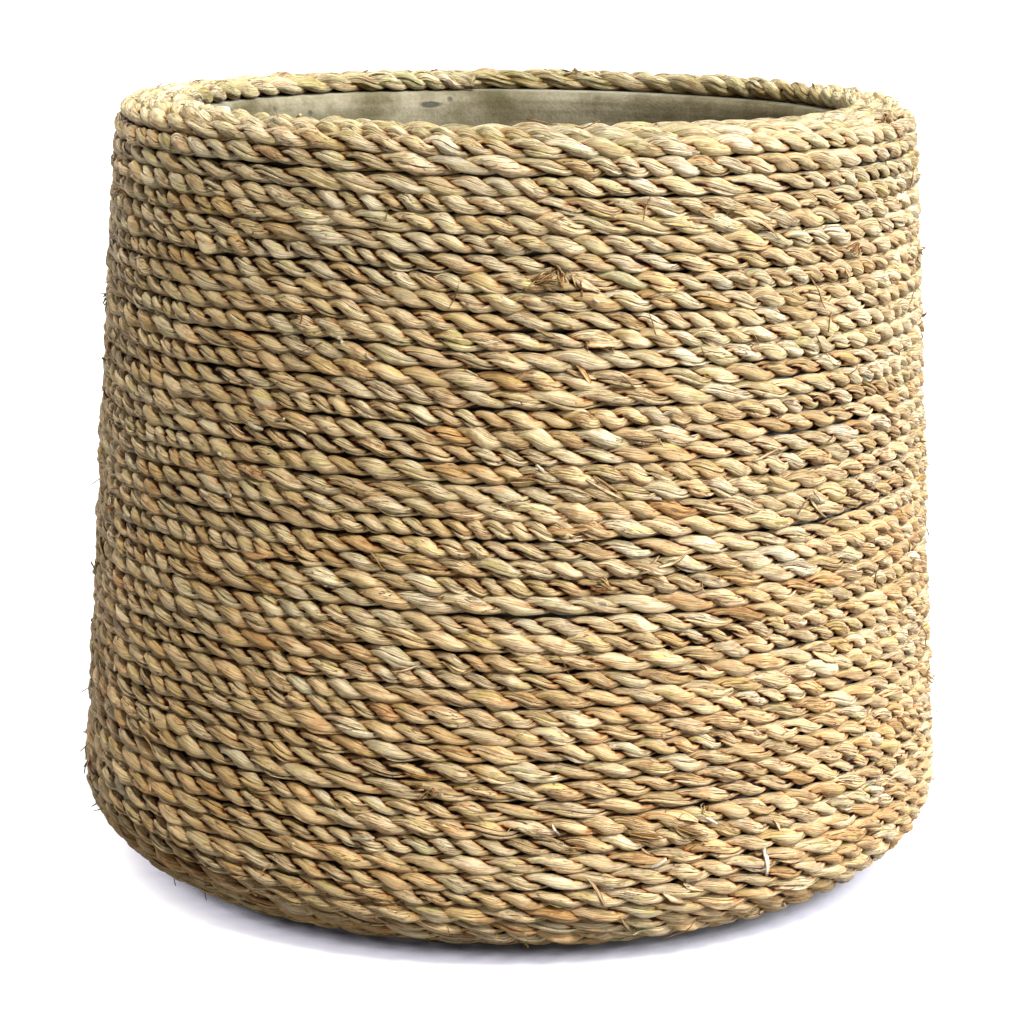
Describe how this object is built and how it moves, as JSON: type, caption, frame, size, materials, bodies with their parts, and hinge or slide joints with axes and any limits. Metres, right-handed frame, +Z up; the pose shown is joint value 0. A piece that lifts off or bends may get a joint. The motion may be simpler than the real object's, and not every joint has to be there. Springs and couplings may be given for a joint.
{
  "type": "planter",
  "caption": "Round tapered cement planter with a rounded foot corner and a broad flat lip, wound all over its outside with twisted straw rope.",
  "frame": {"origin": "centre of the foot's flat underside, on the surface that the planter stands on", "axes": "+Z up along the pot's axis of revolution; the side that the picture shows faces -Y"},
  "size_m": [0.3095, 0.3126, 0.2721],
  "materials": {
    "cement": "matt, cast, slightly mottled grey cement",
    "straw_rope": "dry hand-twisted straw, pale cream to tan with darker creases"
  },
  "bodies": {
    "root": {"cement_pot": "cement", "lower_wall_rope": "straw_rope", "upper_wall_rope": "straw_rope", "rim_rope": "straw_rope"}
  },
  "joints": []
}
